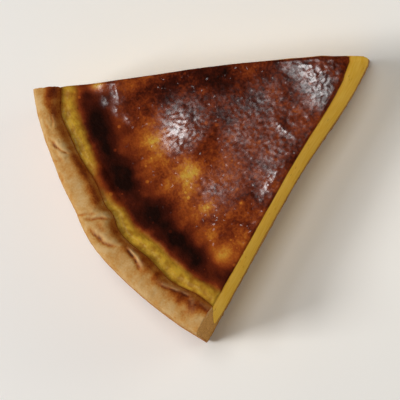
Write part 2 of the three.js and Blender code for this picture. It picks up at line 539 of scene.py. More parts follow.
@dataclass
class CustardFilling(SlicePiece):
    """The set custard, with its pale ring, its browned skin and its two smooth cuts."""

    shell: Shell = field(kw_only=True)
    node: str = "custard_filling"
    slot: str = "set_custard"
    columns: int = 220
    rows: int = 34
    steps: int = 240
    crowding: float = 1.3
    ring_width: float = 6.5
    ring_swell: float = 0.6
    skin_drop: float = 0.5
    tip_sag: float = 3.0
    relief_depth: float = 8.0
    swells: Wave = Wave(24, 0.6, 3.1)
    warp: Wave = Wave(13, 5.0, 7.7)
    wrinkles: Wave = Wave(7, 1.0, 1.9)
    wrinkle_height: float = 0.06
    bumps: tuple[Wave, ...] = (Wave(2.3, 0.04, 9.3), Wave(1.3, 0.08, 4.4))
    blister_height: float = 0.2
    plain_roughness: float = 0.7
    blister_roughness: float = 0.4
    ring_lumps: tuple[Wave, ...] = (Wave(3.6, 0.22, 2.2), Wave(1.1, 0.05, 4.2))
    relief_end: float = 1.5
    lean_reach: float = 19.5
    edge_softness: float = 1.0
    edge_sink: float = 0.3
    edge_round: float = 0.4
    knife_drag: tuple[Wave, ...] = (Wave(14, 0.22, 1.3, 6), Wave(5, 0.11, 6.1, 3))
    skin_edge: float = 104.5
    skin_fade: Span = Span(-1.5, 1.0)
    skin_waves: tuple[Wave, ...] = (Wave(2.2, 0.5, 5.5), Wave(0.7, 0.3, 8.5))
    skin_reach: tuple[Change, ...] = (
        Change(-26, 3, 0.3),
        Change(-10.5, 1.5, -0.8),
        Change(-7, 5.5, 3.6),
        Change(-6.5, 2.5, 1.0),
        Change(-1, 1.6, 0.8),
        Change(10, 3, -1.3),
        Change(17, 3, -1.4),
        Change(23, 2, 0.7),
        Change(27, 2, -1.0),
    )
    ring_edge: float = 0.8
    ring_fade: Span = Span(-1.2, 2.0)
    ring_gloss: float = 0.05
    ring_browning: tuple[Change, ...] = (
        Change(-6.5, 3.5, 0.85),
        Change(-26, 3, 0.25),
        Change(25, 4, 0.15),
    )
    contact_browning: float = 0.5
    browning_stops: tuple[tuple[float, float], ...] = (
        (0, 0.70),
        (45, 0.72),
        (66, 0.68),
        (80, 0.52),
        (90, 0.62),
        (95, 0.80),
        (101, 0.82),
        (110, 0.76),
    )
    blotches: tuple[Patch, ...] = (
        Patch(99.2, -16.8, 3.2, 11, 0.32),
        Patch(98.5, -5.2, 3.6, 5.5, 0.30),
        Patch(96, 4.8, 6, 4.5, 0.24),
        Patch(96, 8.5, 4, 4, 0.16),
        Patch(96, 12.8, 4, 4.2, 0.30),
        Patch(97, 18.8, 3.2, 4.5, 0.24),
        Patch(58, -25, 4, 6, 0.14),
        Patch(50.5, -21, 3, 6, 0.14),
        Patch(60, -20, 14, 7, 0.06),
        Patch(45, 8, 12, 10, -0.06),
        Patch(53, 19, 8, 4, -0.06),
        Patch(64, 6, 6, 6, -0.19),
        Patch(72, 19, 5, 5, 0.06),
        Patch(75.5, 2.3, 4.6, 4, -0.44),
        Patch(81, 5.9, 3.6, 2.8, -0.28),
        Patch(86.5, 1.8, 4.5, 2, -0.26),
        Patch(82, -10, 4.6, 3.6, -0.34),
        Patch(90.5, 23.5, 4.8, 4.4, -0.36),
        Patch(79, 13, 4.2, 2.6, -0.20),
        Patch(84.5, 18.2, 4.2, 1.7, -0.20),
        Patch(83, 21, 4, 4, 0.14),
        Patch(75, -21, 9, 8, 0.18),
        Patch(88, -6, 4, 2, -0.14),
        Patch(94, -12, 3, 3, -0.10),
        Patch(97, -26.9, 4, 2.6, -0.62),
        Patch(70, 19.5, 0.8, 0.8, -0.40),
    )
    flames: Wave = Wave(11, 0.11, 4.9, 3)
    flames_start: Span = Span(62, 80)
    flames_end: Span = Span(90, 98)
    tone_waves: tuple[Wave, ...] = (Wave(8, 0.12, 2.7), Wave(3.5, 0.10, 6.6))
    grain: Wave = Wave(1.5, 0.10, 8.1)
    grain_end: Span = Span(78, 94)
    edge_paling: float = 0.24
    paling_fade: Span = Span(-3.2, 0.4)
    veil_level: float = 0.02
    veil: Wave = Wave(12, 0.12, 5.3)
    veil_start_degrees: Span = Span(-24, -8)
    veil_end: Span = Span(70, 88)
    blister_gloss: float = 0.8
    blisters: tuple[Patch, ...] = (
        Patch(90, -25, 1.6, 4, 1.3),
        Patch(95.5, -27, 2.2, 2, 0.8),
        Patch(94.4, -23.2, 1.2, 1.5, 0.9),
        Patch(91.2, -20.5, 1.2, 1.5, 0.9),
        Patch(88, -17.8, 1.2, 1.5, 0.8),
        Patch(70, -11, 6, 6, 1.6),
        Patch(75, -8, 4, 4, 0.8),
        Patch(57, 23.5, 5, 1.8, 1.6),
        Patch(38.5, 13, 1.4, 4.5, 1.4),
        Patch(73, 10, 4, 4, 0.4),
        Patch(16.5, -8, 6, 5, 1.2),
        Patch(21, -22, 5, 3, 0.7),
        Patch(19.5, 15, 5, 4, 1.0),
        Patch(38, -6, 6, 5, 0.25),
        Patch(46, 6, 12, 11, 0.22),
        Patch(49, 18, 7, 4, 0.3),
    )

    def top_height(self, radius: float) -> float:
        """Finds the custard's top, before its relief.

        Args:
            radius: where to measure.

        Returns:
            Its height there.
        """
        contact_height = self.shell.contact_height
        edge = self.shell.contact - self.ring_width
        edge_height = contact_height - self.skin_drop
        if radius > edge:
            peak = contact_height + 2 * self.ring_swell
            return bend(edge_height, peak, contact_height, (radius - edge) / self.ring_width)
        middle = edge_height - self.tip_sag
        return bend(edge_height, middle, middle, 1 - radius / edge)

    def section(self, along: float, up: float) -> Spot:
        """Draws the section, with its rows crowded towards the skin.

        Args:
            along: how far from the axis to the wall, from 0 to 1.
            up: how far from the base up to the skin, from 0 to 1.

        Returns:
            The section's point there.
        """
        floor = self.shell.floor_height(along * self.shell.floor_radius)
        top = self.top_height(along * self.shell.contact)
        height = floor + (top - floor) * (1 - (1 - up) ** self.crowding)
        radius = along * self.shell.wall_radius(height)
        return Spot(radius, -self.wedge.half_angle, height, top - height)

    def hidden(self, along: float, up: float) -> bool:
        """The axis and the custard's floor."""
        return along < TINY or up < TINY

    def past_skin(self, spot: Spot) -> float:
        """How far a place lies past the browned skin, on the pale ring."""
        ragged = total(self.skin_waves, spot.degrees, 0)
        return spot.radius - (self.skin_edge + ragged + total(self.skin_reach, spot.degrees))

    def skin_relief(self, spot: Spot) -> float:
        """Works out the swells, wrinkles and bumps of the skin, which blisters make rougher.

        Args:
            spot: a place of the skin.

        Returns:
            The height of its relief.
        """
        blister = total(self.blisters, spot.radius, spot.angle)
        warp = self.warp.at(spot.x, spot.y)
        wrinkle = 1 - 2 * abs(self.wrinkles.at(spot.x + warp, spot.y - warp))
        fine = self.wrinkle_height * wrinkle + total(self.bumps, spot.x, spot.y)
        rough = self.plain_roughness + self.blister_roughness * blister
        return self.swells.at(spot.x, spot.y) + self.blister_height * blister + rough * fine

    def top_relief(self, spot: Spot) -> float:
        """Works out the relief of the skin and of the ring, which ends at the rim.

        Args:
            spot: a place at or below the top.

        Returns:
            The height of the top's relief over it.
        """
        skin = self.skin_fade.fall(self.past_skin(spot))
        relief = self.skin_relief(spot) * skin + total(self.ring_lumps, spot.x, spot.y) * (1 - skin)
        return relief * self.shell.before_contact(self.relief_end).fall(spot.radius)

    def shaped(self, spot: Spot, cut: bool) -> Vector:
        """Lifts the skin, lets the wall follow the rim and softens the edges of the cuts.

        Args:
            spot: the point's place.
            cut: whether it lies on a cut.

        Returns:
            The point's final place in the frame.
        """
        near_top = max(1 - spot.depth / self.edge_softness, 0.0)
        lift = 0.0
        if spot.depth < self.relief_depth:
            near_cut = max(1 - self.wedge.from_cut(spot) / self.edge_softness, 0.0)
            lift = self.top_relief(spot) * (1 - spot.depth / self.relief_depth) ** 2
            lift -= self.edge_sink * near_cut ** 2 * near_top
        inward = self.shell.lean(spot) * self.shell.before_contact(self.lean_reach).rise(spot.radius)
        moved = spot._replace(radius=spot.radius - inward, height=spot.height + lift)
        point = self.wedge.point(moved) + self.wedge.settle(spot) * MM
        if cut:
            drag = total(self.knife_drag, spot.radius, spot.height) - self.edge_round * near_top ** 2
            point += self.wedge.outward(spot.angle) * drag * MM
        return point

    def browning(self, spot: Spot) -> float:
        """Works out how far the skin is browned: by its radius, in blotches, in flames and in fine grain.

        Args:
            spot: a place of the skin.

        Returns:
            Its browning.
        """
        tone = interpolate(self.browning_stops, spot.radius) + total(self.blotches, spot.radius, spot.angle)
        flames = self.flames_start.rise(spot.radius) * self.flames_end.fall(spot.radius)
        tone += flames * self.flames.at(spot.radius, self.wedge.arc(spot))
        tone += total(self.tone_waves, spot.x, spot.y)
        return tone + self.grain_end.fall(spot.radius) * self.grain.at(spot.x, spot.y)

    def glazing(self, spot: Spot) -> float:
        """Works out how glossy the skin is: a thin veil, and full gloss on the blisters.

        Args:
            spot: a place of the skin.

        Returns:
            Its gloss.
        """
        veil = self.veil_level + self.veil.at(spot.x, spot.y)
        veil *= self.veil_start_degrees.rise(spot.degrees) * self.veil_end.fall(spot.radius)
        return veil + self.blister_gloss * total(self.blisters, spot.radius, spot.angle)

    def baked(self, spot: Spot) -> Baking:
        """Browns the skin, most of all near its edge, and leaves the ring pale.

        Args:
            spot: the place.

        Returns:
            How it is baked.
        """
        past_skin = self.past_skin(spot)
        ring = self.ring_fade.rise(past_skin)
        contact = self.shell.before_contact(self.ring_edge).rise(spot.radius)
        tone = self.browning(spot) - self.edge_paling * self.paling_fade.rise(past_skin)
        tone = tone * (1 - contact) + self.contact_browning * contact
        pale = ring * (1 - total(self.ring_browning, spot.degrees)) * (1 - contact)
        return Baking(tone, self.glazing(spot) * (1 - ring) + self.ring_gloss * pale, pale)

    def finish(self) -> bpy.types.Material:
        """Yellow where it is cut, browned on top."""
        return CustardFinish().material()


class Crease(NamedTuple):
    """A fold of the rim: a line of (degrees, distance in from the outer edge), and its flap's height.

    The flap is on the line's inner side.
    """

    line: tuple[tuple[float, float], ...]
    flap: float


class FlatFold(NamedTuple):
    """A fold on the rim laid out flat: its line and its flap's height."""

    line: list[Vector]
    flap: float


class Fold(NamedTuple):
    """How high a flap stands at a place of the rim, and how far it is groove or lip, each from 0 to 1."""

    height: float
    groove: float
    lip: float


@dataclass
class PastryCrust(SlicePiece):
    """The shortcrust shell: base, wall and folded rim."""

    shell: Shell = field(kw_only=True)
    node: str = "pastry_crust"
    slot: str = "baked_pastry"
    columns: int = 190
    rows: int = 28
    steps: int = 320
    foot: float = 3.0
    wall_lean: float = 0.8
    shoulder_drop: float = 4.0
    crown_inset: float = 4.4
    slope_rounding: float = 1.6
    base_share: float = 0.60
    corner_share: float = 0.10
    cap_share: float = 0.12
    shoulder_share: float = 0.42
    wall_skin: float = 2.0
    wall_waves: tuple[Wave, ...] = (Wave(14, 0.35, 1.1), Wave(5, 0.2, 4.8, 2.5), Wave(1.4, 0.1, 7.4))
    flares: tuple[Change, ...] = (
        Change(-28, 9, 1.8),
        Change(3.5, 6, 1.6),
        Change(12.5, 8, 1.1),
        Change(28, 9, 1.4),
    )
    lean_margin: float = 2.0
    crown_margin: float = 1.0
    undulations: tuple[Undulation, ...] = (Undulation(0.36, 9, 0.4), Undulation(0.24, 23, 2))
    lumps: tuple[Wave, ...] = (Wave(6, 0.40, 3.3), Wave(2.4, 0.22, 5.2), Wave(1.0, 0.10, 7.9))
    crumbs: tuple[Wave, ...] = (Wave(1.7, 0.22, 2.9), Wave(0.8, 0.14, 6.3))
    crumb_sink: float = 0.1
    creases: tuple[Crease, ...] = (
        Crease(((-18.0, 3.0), (-16.7, 4.0), (-15.3, 5.4), (-14.1, 7.2)), 1.1),
        Crease(((-3.2, 1.8), (-2.6, 3.2), (-2.0, 4.8), (-1.4, 6.4)), 0.6),
        Crease(((-1.9, 3.0), (-1.0, 4.6), (-0.2, 6.6), (0.8, 8.6)), 1.0),
        Crease(((0.1, 3.1), (2.4, 4.1), (4.9, 5.1), (6.2, 6.5)), 1.1),
        Crease(((7.2, 7.9), (9.2, 7.0), (11.0, 6.4), (12.4, 5.6)), 1.2),
        Crease(((16.2, 6.2), (18.6, 7.6), (20.8, 7.8), (23.0, 7.9)), 0.5),
    )
    seed: int = 11
    wrinkles: int = 18
    wrinkle_degrees: Span = Span(-27, 25)
    wrinkle_insets: Span = Span(1.5, 7.5)
    wrinkle_runs: Span = Span(3, 7)
    wrinkle_drifts: Span = Span(-1.5, 1.5)
    wrinkle_turns: Span = Span(-0.8, 0.8)
    wrinkle_flaps: Span = Span(0.15, 0.4)
    fold_reach: float = 12.0
    fold_start: Span = Span(-0.12, 0.30)
    fold_end: Span = Span(0.70, 1.12)
    fold_strength: float = 0.8
    fold_wave: Wave = Wave(1.6, 0.5, 3.6)
    wander_along: Wave = Wave(3, 0.5, 8.8)
    wander_across: Wave = Wave(3, 0.5, 6.2)
    flap_edge: float = 0.4
    flap_reach: float = 2.8
    groove_width: float = 0.5
    groove_depth: float = 0.9
    lip_width: float = 0.65
    tone_waves: tuple[Wave, ...] = (Wave(6, 0.22, 2.1), Wave(2.2, 0.16, 5.9))
    side_brown: float = 0.36
    side_bands: Wave = Wave(22, 0.10, 3.8, 5)
    foot_brown: float = 0.16
    foot_fade: Span = Span(2, 14)
    rim_margin: float = 2.0
    rim_brown: float = 0.14
    # Painted shade in the folds' grooves, partly browning.
    groove_shade_and_browning: float = 0.85
    # Painted highlight on the folds' lips.
    lip_highlight: float = 0.8
    slope_start: float = 6.1
    slope_lead: float = 1.4
    slope_run: float = 1.6
    slope_lift: float = 0.5
    slope_waves: tuple[Wave, ...] = (Wave(5, 0.4, 6.4), Wave(1.8, 0.4, 2.4))
    slope_brown: float = 0.54
    slope_soak: float = 0.35
    slope_shifts: tuple[Change, ...] = (
        Change(-25.5, 3, -1.6),
        Change(-16.5, 2, 1.0),
        Change(-12, 3, 0.8),
        Change(0, 1.6, 2.8),
        Change(4.5, 2, 1.2),
        Change(9.5, 1.5, 2.0),
        Change(-21.5, 1.5, 0.6),
        Change(22.5, 4, -1.4),
    )
    slope_tones: tuple[Change, ...] = (
        Change(-26, 3, 0.18),
        Change(-19.5, 3, -0.12),
        Change(-7, 4, 0.14),
        Change(0, 2, -0.14),
        Change(7, 3, -0.12),
        Change(13, 2.5, 0.06),
        Change(18, 2.5, -0.08),
        Change(24, 4, 0.18),
    )
    folds: list[FlatFold] = field(init=False)

    def __post_init__(self) -> None:
        """Lays the creases and some small seeded wrinkles out flat."""
        draw = random.Random(self.seed)
        self.folds = [FlatFold([self.flat(*corner) for corner in line], flap) for line, flap in self.creases]
        self.folds += [self.wrinkle(draw) for _ in range(self.wrinkles)]

    def flat(self, degrees: float, inset: float) -> Vector:
        """A place of the rim laid out flat: along it, and in from its outer edge."""
        return Vector((self.wedge.radius * math.radians(degrees), inset))

    def wrinkle(self, draw: random.Random) -> FlatFold:
        """Draws a small wrinkle somewhere on the rim.

        Args:
            draw: the seeded source of its place and size.

        Returns:
            The wrinkle, laid out flat.
        """
        start = self.flat(draw.uniform(*self.wrinkle_degrees), draw.uniform(*self.wrinkle_insets))
        run = Vector((draw.uniform(*self.wrinkle_runs), draw.uniform(*self.wrinkle_drifts)))
        turn = Vector((0, draw.uniform(*self.wrinkle_turns)))
        return FlatFold([start, start + run / 2 + turn, start + run], draw.uniform(*self.wrinkle_flaps))

    def outer_line(self, along: float) -> Vector:
        """Follows the underside, the foot and the wall's outside.

        Args:
            along: how far along the section, from 0 to 1.

        Returns:
            The (radius, height) there.
        """
        radius = self.wedge.radius
        corner = self.base_share + self.corner_share
        if along <= self.base_share:
            return Vector(((radius - self.foot) * along / self.base_share, 0.0))
        if along <= corner:
            share = (along - self.base_share) / self.corner_share
            return Vector((bend(radius - self.foot, radius, radius, share), bend(0, 0, self.foot, share)))
        share = (along - corner) / (1 - corner)
        shoulder = self.shell.rim_height - self.shoulder_drop
        return Vector((radius - self.wall_lean * share, self.foot + (shoulder - self.foot) * share))

    def inner_line(self, along: float) -> Vector:
        """Follows the top of the base, the fillet and the wall's inside.

        Args:
            along: how far along the section, from 0 to 1.

        Returns:
            The (radius, height) there.
        """
        shell = self.shell
        corner = self.base_share + self.corner_share
        if along <= self.base_share:
            radius = shell.floor_radius * along / self.base_share
            return Vector((radius, shell.floor_height(radius)))
        if along <= corner:
            turn = (along - self.base_share) / self.corner_share * math.pi / 2
            height = shell.fillet_top - shell.fillet * math.cos(turn)
            return Vector((shell.floor_radius + shell.fillet * math.sin(turn), height))
        share = (along - corner) / (1 - corner)
        height = shell.fillet_top + (shell.contact_height - shell.fillet_top) * share
        return Vector((shell.wall_radius(height), height))

    def crown_line(self, up: float) -> Vector:
        """Goes over the rim, from its outer shoulder down to the custard.

        Args:
            up: how far through the wall from outside to inside, from 0 to 1.

        Returns:
            The (radius, height) there.
        """
        shoulder = self.wedge.radius - self.wall_lean
        crown = self.wedge.radius - self.crown_inset
        top = self.shell.rim_height
        if up <= self.shoulder_share:
            share = up / self.shoulder_share
            height = bend(top - self.shoulder_drop, top, top, share)
            return Vector((bend(shoulder, shoulder, crown, share), height))
        share = (up - self.shoulder_share) / (1 - self.shoulder_share)
        contact = self.shell.contact
        radius = bend(crown, contact + self.slope_rounding, contact, share)
        return Vector((radius, bend(top, top, self.shell.contact_height, share)))

    def section(self, along: float, up: float) -> Spot:
        """Draws the section, whose end is rounded into the rim.

        Args:
            along: how far from the axis along the base and up the wall, from 0 to 1.
            up: how far through it from outside to inside, from 0 to 1.

        Returns:
            The section's point there.
        """
        outer = self.outer_line(along)
        end_line = self.outer_line(1.0).lerp(self.inner_line(1.0), up)
        rounding = max((along - 1 + self.cap_share) / self.cap_share, 0.0) ** 2
        point = outer.lerp(self.inner_line(along), up) + (self.crown_line(up) - end_line) * rounding
        wall_length = self.shell.rim_height / (1 - self.base_share - self.corner_share)
        depth = min((point - outer).length, (1 - along) * wall_length)
        return Spot(point.x, -self.wedge.half_angle, point.y, depth)

    def hidden(self, along: float, up: float) -> bool:
        """The axis, the underside and the top of the base."""
        return along < TINY or (along < self.base_share and min(up, 1 - up) < TINY)

    def beside(self, place: Vector, line: list[Vector]) -> Fold:
        """Shapes one fold of height 1: a flap that falls away behind its edge, and a groove before it.

        Args:
            place: where to measure, on the rim laid out flat.
            line: the fold's corners, laid out flat.

        Returns:
            The fold's own height, groove and lip, which are 0 away from it.
        """
        length = sum((end - start).length for start, end in zip(line, line[1:]))
        nearest = math.inf
        passed = 0.0
        across = 0.0
        along = 0.0
        for start, end in zip(line, line[1:]):
            run = end - start
            offset = place - start
            share = offset.dot(run) / run.length_squared
            gap = (offset - run * limit(share)).length
            if gap < nearest:
                nearest = gap
                across = run.cross(offset) / run.length
                along = (passed + share * run.length) / length
            passed += run.length
        within = self.fold_start.rise(along) * self.fold_end.fall(along)
        within *= self.fold_strength + self.fold_wave.at(along * length, length)
        flap = Span(-self.flap_edge, self.flap_edge).rise(across)
        flap *= math.exp(-max(across, 0.0) / self.flap_reach)
        groove = within * bell(across + self.flap_edge, self.groove_width)
        lip = within * bell(across - self.flap_edge, self.lip_width)
        return Fold(within * flap - self.groove_depth * groove, groove, lip)

    def fold(self, spot: Spot) -> Fold:
        """Adds up the flaps and grooves of all the rim's folds.

        Args:
            spot: a place of the rim.

        Returns:
            The folds there, taken together.
        """
        arc = self.wedge.arc(spot)
        inset = self.wedge.radius - spot.radius
        wander = Vector((self.wander_along.at(arc, inset), self.wander_across.at(arc, inset)))
        place = Vector((arc, inset)) + wander
        height = 0.0
        groove = 0.0
        lip = 0.0
        for line, flap in self.folds:
            if abs(place.x - line[1].x) < self.fold_reach:
                beside = self.beside(place, line)
                height += flap * beside.height
                groove = max(groove, min(flap, 1.0) * beside.groove)
                lip = max(lip, min(flap, 1.0) * beside.lip)
        return Fold(height, groove, lip)

    def wall_relief(self, spot: Spot) -> float:
        """Works out how far the wall's outside stands out: it is uneven, and flares towards the rim.

        Args:
            spot: a place of the crust.

        Returns:
            The distance outwards, which is 0 away from the wall's outside.
        """
        skin = Span(self.shell.inner, self.wedge.radius - self.wall_skin)
        on_wall = skin.rise(spot.radius) * Span(0, self.foot).rise(spot.height)
        if on_wall == 0:
            return 0.0
        flare = total(self.flares, spot.degrees)
        flare *= Span(self.foot, self.shell.contact_height).rise(spot.height)
        return on_wall * (total(self.wall_waves, self.wedge.arc(spot), spot.height) + flare)

    def rim_relief(self, spot: Spot) -> float:
        """Works out how far the rim is raised: it is wavy, lumpy and folded.

        Args:
            spot: a place of the crust.

        Returns:
            The height of its relief, which is 0 below the rim.
        """
        start = self.shell.contact_height
        if spot.height <= start:
            return 0.0
        lumps = total(self.lumps, self.wedge.arc(spot), self.wedge.radius - spot.radius)
        raised = total(self.undulations, spot.angle) + lumps + self.fold(spot).height
        return raised * Span(start, self.shell.rim_height - self.crown_margin).rise(spot.height)

    def shaped(self, spot: Spot, cut: bool) -> Vector:
        """Gives the rim its waves and folds, the wall its unevenness and the cuts their crumb.

        Args:
            spot: the point's place.
            cut: whether it lies on a cut.

        Returns:
            The point's final place in the frame.
        """
        inside = Span(self.lean_margin, self.shell.rim_width - self.lean_margin)
        inward = self.shell.lean(spot) * inside.rise(self.wedge.radius - spot.radius)
        moved = spot._replace(
            radius=spot.radius + (self.wall_relief(spot) - inward),
            height=spot.height + self.rim_relief(spot),
        )
        point = self.wedge.point(moved) + self.wedge.settle(spot) * MM
        if cut:
            crumb = total(self.crumbs, spot.radius, spot.height) - self.crumb_sink
            point += self.wedge.outward(spot.angle) * crumb * MM
        return point

    def baked(self, spot: Spot) -> Baking:
        """Leaves the rim pale, its inner slope brown and moist and the outside golden, with painted shade,
        partly browning, in its folds' grooves and a painted highlight on their lips.

        Args:
            spot: the place.

        Returns:
            How it is baked.
        """
        inset = self.wedge.radius - spot.radius
        arc = self.wedge.arc(spot)
        rim_start = self.shell.contact_height - self.rim_margin
        uneven = total(self.tone_waves, arc, inset + spot.height)
        side = self.side_brown + self.side_bands.at(arc, spot.height)
        side += self.foot_brown * self.foot_fade.fall(spot.height)
        if spot.height < rim_start:
            return Baking(side + uneven, 0.0, 0.0)
        fold = self.fold(spot)
        start = self.slope_start + total(self.slope_shifts, spot.degrees) - self.slope_lift * fold.height
        start += total(self.slope_waves, arc, inset)
        slope = Span(start - self.slope_lead, start + self.slope_run).rise(inset)
        soaked = 1 - self.slope_soak * Span(start + self.slope_run, self.shell.rim_width).rise(inset)
        brown = (self.slope_brown + total(self.slope_tones, spot.degrees)) * slope * soaked
        # Painted shade, partly browning, darkens the tone along each fold's groove.
        top = self.rim_brown + brown + self.groove_shade_and_browning * fold.groove
        on_top = Span(rim_start, self.shell.rim_height - self.rim_margin).rise(spot.height)
        tone = side + (top - side) * max(on_top, slope) + uneven
        # The pale value carries a painted highlight on the folds' lips.
        return Baking(tone, slope, self.lip_highlight * fold.lip)

    def finish(self) -> bpy.types.Material:
        """Dry baked shortcrust."""
        return PastryFinish().material()


class Mottle(NamedTuple):
    """Values for the mottle group."""

    size: float
    detail: float


class Specks(NamedTuple):
    """Values for the specks group."""

    spacing: float
    size: float
    share: float


class Wiring:
    """Adds nodes to one tree and links them, so that a finish reads as a list of steps."""

    def __init__(self, tree: bpy.types.NodeTree) -> None:
        """Keeps the tree that the nodes go into."""
        self.tree = tree

    def feed(self, socket: Socket, source: Source) -> None:
        """Links a socket to another one, or sets its value.

        Args:
            socket: the socket to feed.
            source: the other socket, or the value.
        """
        if isinstance(source, Socket):
            self.tree.links.new(source, socket)
        else:
            socket.default_value = source

    def add(self, kind: str, inputs: dict[str | int, Source], **settings: object) -> bpy.types.Node:
        """Adds a node.

        Args:
            kind: the node's type.
            inputs: what feeds its sockets, by name or number.
            settings: the node's own options.

        Returns:
            The node.
        """
        node = self.tree.nodes.new(kind)
        for name, value in settings.items():
            setattr(node, name, value)
        for key, source in inputs.items():
            self.feed(node.inputs[key], source)
        return node

    def math(self, operation: str, first: Source, second: Source) -> Socket:
        """One sum of two values."""
        return self.add("ShaderNodeMath", {0: first, 1: second}, operation=operation).outputs[0]

    def plus(self, first: Source, second: Source) -> Socket:
        """A value and another one added to it."""
        return self.math("ADD", first, second)

    def minus(self, first: Source, second: Source) -> Socket:
        """A value with another one taken from it."""
        return self.math("SUBTRACT", first, second)

    def times(self, first: Source, second: Source) -> Socket:
        """A value times another one."""
        return self.math("MULTIPLY", first, second)

    def over(self, first: Source, second: Source) -> Socket:
        """A value divided by another one."""
        return self.math("DIVIDE", first, second)

    def remap(self, value: Source, span: Span, start: float = 0.0, end: float = 1.0) -> Socket:
        """A value's smooth change over a span, from start to end."""
        inputs = {"Value": value, "From Min": span.low, "From Max": span.high, "To Min": start, "To Max": end}
        return self.add("ShaderNodeMapRange", inputs, interpolation_type="SMOOTHSTEP").outputs[0]

    def mix(self, share: Source, first: Source, second: Source) -> Socket:
        """A blend of two colours."""
        return self.add("ShaderNodeMix", {0: share, 6: first, 7: second}, data_type="RGBA").outputs[2]

    def blend(self, share: Source, first: Source, second: Source) -> Socket:
        """A blend of two values."""
        return self.add("ShaderNodeMix", {0: share, 2: first, 3: second}, data_type="FLOAT").outputs[0]

    def ramp(self, value: Source, tones: Tones) -> Socket:
        """Adds a colour ramp.

        Args:
            value: what the ramp reads.
            tones: its stops, as pairs of (value, colour).

        Returns:
            The colour for the value.
        """
        node = self.add("ShaderNodeValToRGB", {0: value})
        elements = node.color_ramp.elements
        while len(elements) < len(tones):
            elements.new(1.0)
        for element, (position, colour) in zip(elements, tones):
            element.position = position
            element.color = colour
        return node.outputs["Color"]

    def attribute(self, attribute: Attribute, output: str = "Fac") -> Socket:
        """A value that the mesh carries."""
        return self.add("ShaderNodeAttribute", {}, attribute_name=attribute.value).outputs[output]

    def coordinates(self, output: str = "Object") -> Socket:
        """Coordinates of the surface."""
        return self.add("ShaderNodeTexCoord", {}).outputs[output]

    def part(self, vector: Source, axis: str) -> Socket:
        """One part of a vector."""
        return self.add("ShaderNodeSeparateXYZ", {0: vector}).outputs[axis]

    def stretch(self, vector: Source, scale: tuple[float, float, float]) -> Socket:
        """A vector with each of its parts scaled."""
        return self.add("ShaderNodeVectorMath", {0: vector, 1: scale}, operation="MULTIPLY").outputs[0]

    def bump(self, height: Source, strength: float, depth: float) -> Socket:
        """A normal that follows a height."""
        inputs = {"Height": height, "Strength": strength, "Distance": depth}
        return self.add("ShaderNodeBump", inputs).outputs[0]

    def place(self, group: bpy.types.NodeTree, vector: Source, values: Mottle | Specks) -> Socket:
        """A node group's output, for a vector and the group's own values."""
        inputs = {"Vector": vector} | {name.capitalize(): value for name, value in values._asdict().items()}
        return self.add("ShaderNodeGroup", inputs, node_tree=group).outputs[0]


class Effects:
    """Node groups that more than one finish uses. Sizes in them are in millimetres."""

    def __init__(self) -> None:
        """Builds each group once."""
        self.mottle = self.make_mottle()
        self.specks = self.make_specks()

    @staticmethod
    def start(
        name: str, values: Mottle | Specks, output: str
    ) -> tuple[Wiring, dict[str, Socket], Socket]:
        """Starts a group that takes a vector and some values and puts out one value.

        Args:
            name: the group's name.
            values: what its inputs are unless set.
            output: the output's name.

        Returns:
            The group's wiring, its inputs by name, and its output.
        """
        tree = bpy.data.node_groups.new(name, "ShaderNodeTree")
        face = tree.interface
        face.new_socket("Vector", in_out="INPUT", socket_type="NodeSocketVector")
        for key, value in values._asdict().items():
            socket = face.new_socket(key.capitalize(), in_out="INPUT", socket_type="NodeSocketFloat")
            socket.default_value = value
        face.new_socket(output, in_out="OUTPUT", socket_type="NodeSocketFloat")
        inside = tree.nodes.new("NodeGroupInput").outputs
        return Wiring(tree), dict(inside.items()), tree.nodes.new("NodeGroupOutput").inputs[0]

    def make_mottle(self) -> bpy.types.NodeTree:
        """Builds uneven tone from -0.5 to 0.5, with patches of a given size.

        Returns:
            The group.
        """
        wiring, inside, out = self.start("mottle", Mottle(size=2.0, detail=2.0), "Tone")
        scale = wiring.over(1 / MM, inside["Size"])
        inputs = {"Vector": inside["Vector"], "Scale": scale, "Detail": inside["Detail"]}
        clouds = wiring.add("ShaderNodeTexNoise", inputs)
        wiring.feed(out, wiring.minus(clouds.outputs[0], 0.5))
        return wiring.tree

    def make_specks(self) -> bpy.types.NodeTree:
        """Builds round specks, pores or bubbles: a mask of 1 inside them.

        Returns:
            The group.
        """
        wiring, inside, out = self.start("specks", Specks(spacing=3.0, size=0.2, share=0.5), "Mask")
        smallest = 0.4
        edge = Span(1.0, 0.6)
        scale = wiring.over(1 / MM, inside["Spacing"])
        cells = wiring.add("ShaderNodeTexVoronoi", {"Vector": inside["Vector"], "Scale": scale})
        draw = wiring.add("ShaderNodeSeparateColor", {0: cells.outputs["Color"]})
        chosen = wiring.math("LESS_THAN", draw.outputs[0], inside["Share"])
        reach = wiring.times(inside["Size"], wiring.plus(draw.outputs[1], smallest))
        gap = wiring.over(cells.outputs["Distance"], reach)
        wiring.feed(out, wiring.times(wiring.remap(gap, edge), chosen))
        return wiring.tree


EFFECTS = Effects()


def start_material(name: str) -> tuple[bpy.types.Material, Wiring, bpy.types.Node]:
    """Starts a material with a Principled shader.

    Args:
        name: the material's name.

    Returns:
        The material, its wiring and its shader.
    """
    material = bpy.data.materials.new(name)
    material.use_nodes = True
    return material, Wiring(material.node_tree), material.node_tree.nodes["Principled BSDF"]


class CustardPatterns(NamedTuple):
    """Patterns that several parts of the custard's finish share.

    The radius is in metres and the depth below the top in millimetres. The mask is 1 on the skin and 0 below.
    """

    radius: Socket
    depth: Socket
    on_skin: Socket
    coarse: Socket
    fine: Socket
    beads: Socket
    dots: Socket
    streaks: Socket
    bubbles: Socket


